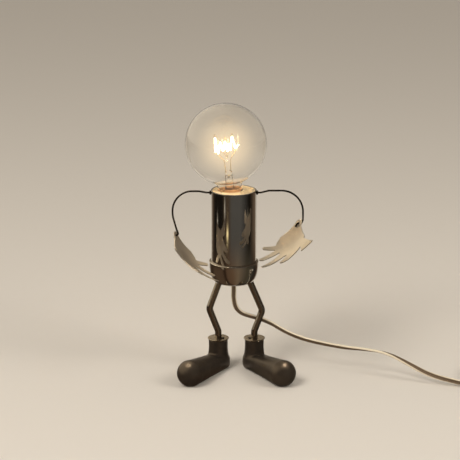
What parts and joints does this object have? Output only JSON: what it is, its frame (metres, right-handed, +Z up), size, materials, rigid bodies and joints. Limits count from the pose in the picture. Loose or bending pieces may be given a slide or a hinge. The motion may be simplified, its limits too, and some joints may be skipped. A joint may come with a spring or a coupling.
{
  "type": "desk lamp",
  "caption": "Desk lamp shaped like a little robot: a clear globe bulb for a head, a chromed tube body, bent wire arms with sheet-metal hands, and bent rod legs in cast shoes.",
  "frame": {"origin": "on the bench, under the middle of the lamp's bounding box without its flex", "axes": "+Z up, -Y towards whoever faces the lamp, +X to their right"},
  "size_m": [0.4393, 0.156, 0.3221],
  "materials": {
    "cast_shoe": "satin",
    "steel_trim": "satin",
    "chrome_rod": "polished",
    "chrome_body": "polished",
    "cream_plate": "satin",
    "brass_fittings": "satin",
    "white_plastic": "matte",
    "black_plastic": "matte",
    "white_ceramic": "matte",
    "dark_wire": "satin",
    "hand_steel": "satin",
    "clear_glass": "polished",
    "cap_brass": "polished",
    "black_glass": "gloss",
    "solder": "satin",
    "glowing_filament": "matte",
    "flex_sheath": "gloss"
  },
  "bodies": {
    "stand": {"left_shoe": "cast_shoe", "right_shoe": "cast_shoe", "left_cuff_disc": "steel_trim", "right_cuff_disc": "steel_trim", "cuff_screws": "steel_trim", "left_leg": "chrome_rod", "right_leg": "chrome_rod", "bottom_cup": "chrome_body", "torso_tube": "chrome_body", "top_plate": "cream_plate", "stem_tube": "brass_fittings", "stem_nuts": "brass_fittings", "cord_bushing": "white_plastic", "inner_flex": "white_plastic", "holder_base": "black_plastic", "holder_shell": "black_plastic", "contact_block": "white_ceramic", "screw_shell": "brass_fittings", "centre_contact": "brass_fittings", "terminal_screws": "brass_fittings", "left_eyelet": "dark_wire", "right_eyelet": "dark_wire", "cord_run": "flex_sheath", "cord_coil": "flex_sheath", "coil_tie": "black_plastic", "cord_tail": "flex_sheath", "plug_body": "white_plastic", "plug_pins": "solder"},
    "left_arm": {"left_arm_wire": "dark_wire"},
    "right_arm": {"right_arm_wire": "dark_wire"},
    "left_hand": {"left_hand": "hand_steel"},
    "right_hand": {"right_hand": "hand_steel"},
    "bulb": {"glass_globe": "clear_glass", "bulb_cap": "cap_brass", "cap_insulator": "black_glass", "cap_contact": "solder", "glass_mount": "clear_glass", "lead_wires": "solder", "filament": "glowing_filament"}
  },
  "joints": [
    {"name": "left_shoulder", "type": "hinge", "parent": "stand", "child": "left_arm", "pos_m": [-0.0345, 0.014, 0.2171], "axis": [1, 0, 0], "range_deg": [-90, 4]},
    {"name": "right_shoulder", "type": "hinge", "parent": "stand", "child": "right_arm", "pos_m": [0.0185, 0.014, 0.2171], "axis": [1, 0, 0], "range_deg": [-90, 14]},
    {"name": "left_wrist", "type": "hinge", "parent": "left_arm", "child": "left_hand", "pos_m": [-0.075, -0.0002, 0.1694], "axis": [0.8371, -0.2992, 0.458], "range_deg": [-45, 4]},
    {"name": "right_wrist", "type": "hinge", "parent": "right_arm", "child": "right_hand", "pos_m": [0.0671, -0.0015, 0.1841], "axis": [-0.6145, -0.5435, 0.5719], "range_deg": [-8, 45]},
    {"name": "bulb_thread", "type": "hinge", "parent": "stand", "child": "bulb", "pos_m": [-0.008, 0.014, 0.17], "axis": [-0.0872, 0, 0.9962], "range_deg": [0, 900]}
  ]
}
